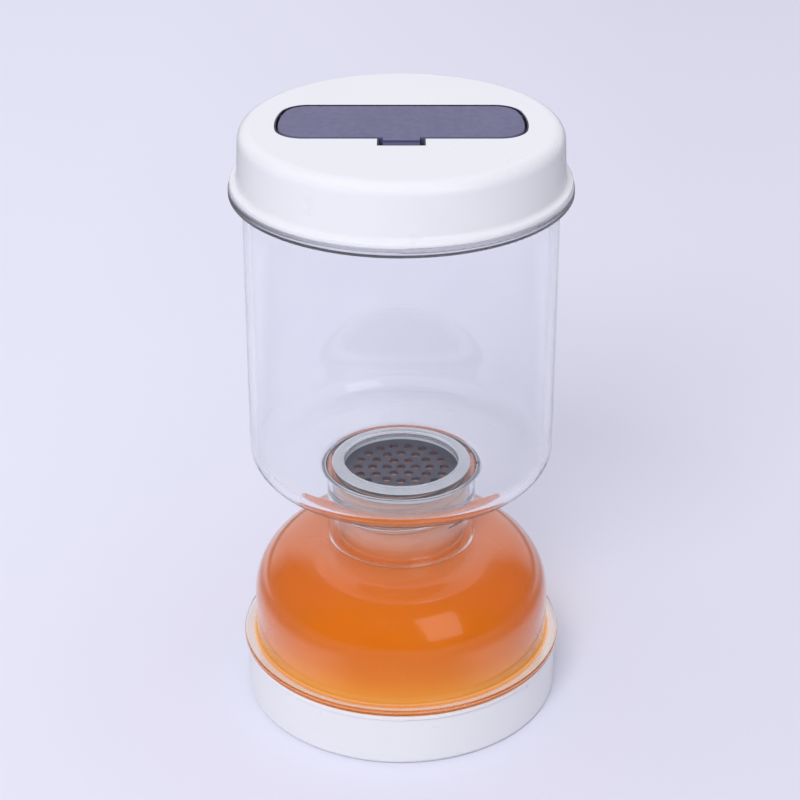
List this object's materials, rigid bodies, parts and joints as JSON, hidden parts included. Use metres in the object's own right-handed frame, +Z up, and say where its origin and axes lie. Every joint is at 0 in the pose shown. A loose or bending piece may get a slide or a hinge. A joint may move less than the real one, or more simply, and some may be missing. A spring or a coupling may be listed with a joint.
{
  "type": "pickle jar",
  "caption": "Flip-over pickle jar: a clear jar over an amber dome, joined by a strainer neck, with a white screw base cap and a white screw lid that has a slate flip-up cover.",
  "frame": {"origin": "middle of the underside of the base cap, on the table", "axes": "+X to the right along the flap's hinge axis, +Y to the rear away from the flap's finger tab, +Z up along the jar's axis"},
  "size_m": [0.104, 0.104, 0.196],
  "materials": {
    "white_plastic": "smooth moulded white polypropylene",
    "clear_plastic": "clear moulded plastic",
    "amber_plastic": "clear amber moulded plastic",
    "slate_plastic": "satin slate purple plastic",
    "tray_plastic": "dark satin plastic",
    "silicone": "translucent silicone"
  },
  "bodies": {
    "base_cap": {"base_cap": "white_plastic"},
    "base_seal": {"base_seal": "silicone"},
    "lower_chamber": {"lower_chamber": "amber_plastic"},
    "strainer": {"strainer": "slate_plastic", "neck_seal": "silicone"},
    "upper_jar": {"upper_jar": "clear_plastic"},
    "lid_seal": {"lid_seal": "silicone"},
    "lid": {"lid_shell": "white_plastic", "flap_tray": "tray_plastic"},
    "flap": {"flap": "slate_plastic"}
  },
  "joints": [
    {"name": "base_rise", "type": "slide", "parent": "base_cap", "child": "base_seal", "axis": [0, 0, 1], "range_m": [0, 0.016]},
    {"name": "base_turn", "type": "hinge", "parent": "base_seal", "child": "lower_chamber", "pos_m": [0, 0, 0.0109], "axis": [0, 0, 1], "range_deg": [0, 720]},
    {"name": "jar_rise", "type": "slide", "parent": "lower_chamber", "child": "strainer", "axis": [0, 0, 1], "range_m": [0, 0.024]},
    {"name": "jar_turn", "type": "hinge", "parent": "strainer", "child": "upper_jar", "pos_m": [0, 0, 0.0687], "axis": [0, 0, 1], "range_deg": [0, 1080]},
    {"name": "lid_rise", "type": "slide", "parent": "upper_jar", "child": "lid_seal", "axis": [0, 0, 1], "range_m": [0, 0.016]},
    {"name": "lid_turn", "type": "hinge", "parent": "lid_seal", "child": "lid", "pos_m": [0, 0, 0.185], "axis": [0, 0, 1], "range_deg": [0, 720]},
    {"name": "flap_open", "type": "hinge", "parent": "lid", "child": "flap", "pos_m": [0, 0.0088, 0.1948], "axis": [-1, 0, 0], "range_deg": [0, 95]}
  ],
  "couplings": [
    {"joint": "base_rise", "follows": "base_turn", "m_per_rad": 0.0012732},
    {"joint": "jar_rise", "follows": "jar_turn", "m_per_rad": 0.0012732},
    {"joint": "lid_rise", "follows": "lid_turn", "m_per_rad": 0.0012732}
  ]
}
